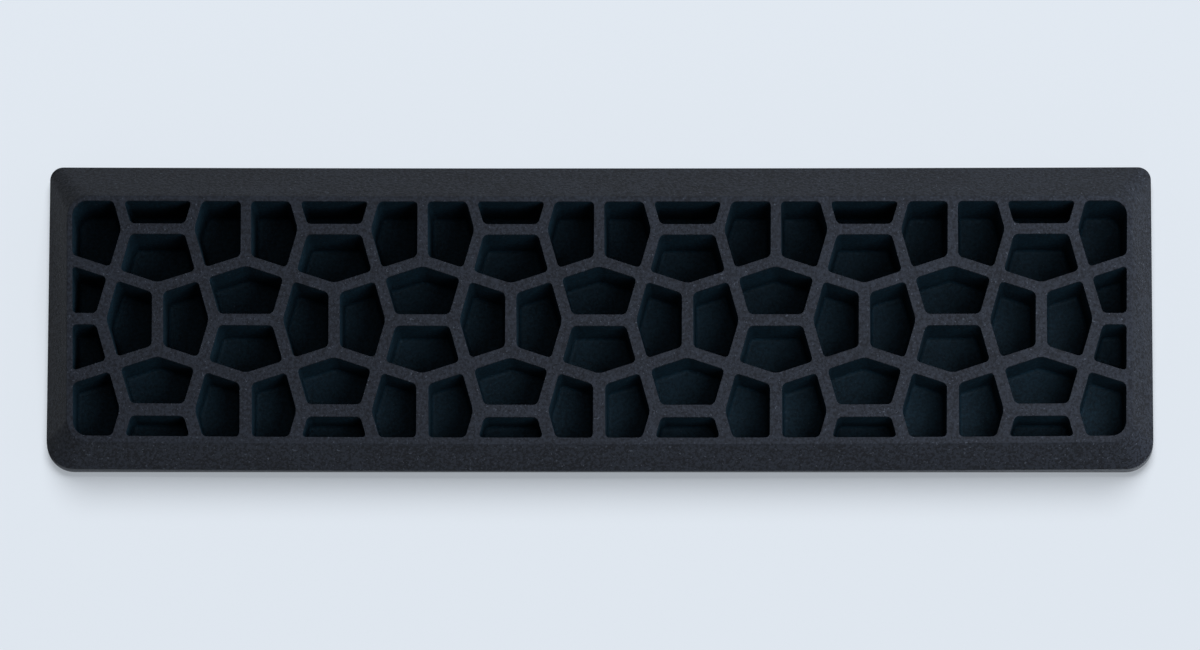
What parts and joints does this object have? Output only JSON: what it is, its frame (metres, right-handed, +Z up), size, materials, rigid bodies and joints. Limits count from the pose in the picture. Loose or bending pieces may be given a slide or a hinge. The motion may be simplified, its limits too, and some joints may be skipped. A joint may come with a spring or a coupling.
{
  "type": "wrist rest",
  "caption": "Low wedge-shaped keyboard wrist rest: an elastomer moulding with bevelled edges and a net of five-sided blind cells, on a stiff plate with anti-slip feet.",
  "frame": {"origin": "on the desk, under the middle of the rest's length and depth", "axes": "+X along the length to the user's right, +Y towards the keyboard, +Z up"},
  "size_m": [0.3, 0.0838, 0.0256],
  "materials": {
    "elastomer": "matte black moulded elastomer with a fine dry speckle",
    "adhesive_film": "thin translucent adhesive film",
    "plate": "dark grey moulded plate with a fine grain",
    "foot_rubber": "soft black anti-slip rubber"
  },
  "bodies": {
    "root": {"cell_pad": "elastomer", "bond_film": "adhesive_film", "base_plate": "plate", "foot_front_left": "foot_rubber", "foot_front_middle": "foot_rubber", "foot_front_right": "foot_rubber", "foot_back_left": "foot_rubber", "foot_back_middle": "foot_rubber", "foot_back_right": "foot_rubber"}
  },
  "joints": []
}
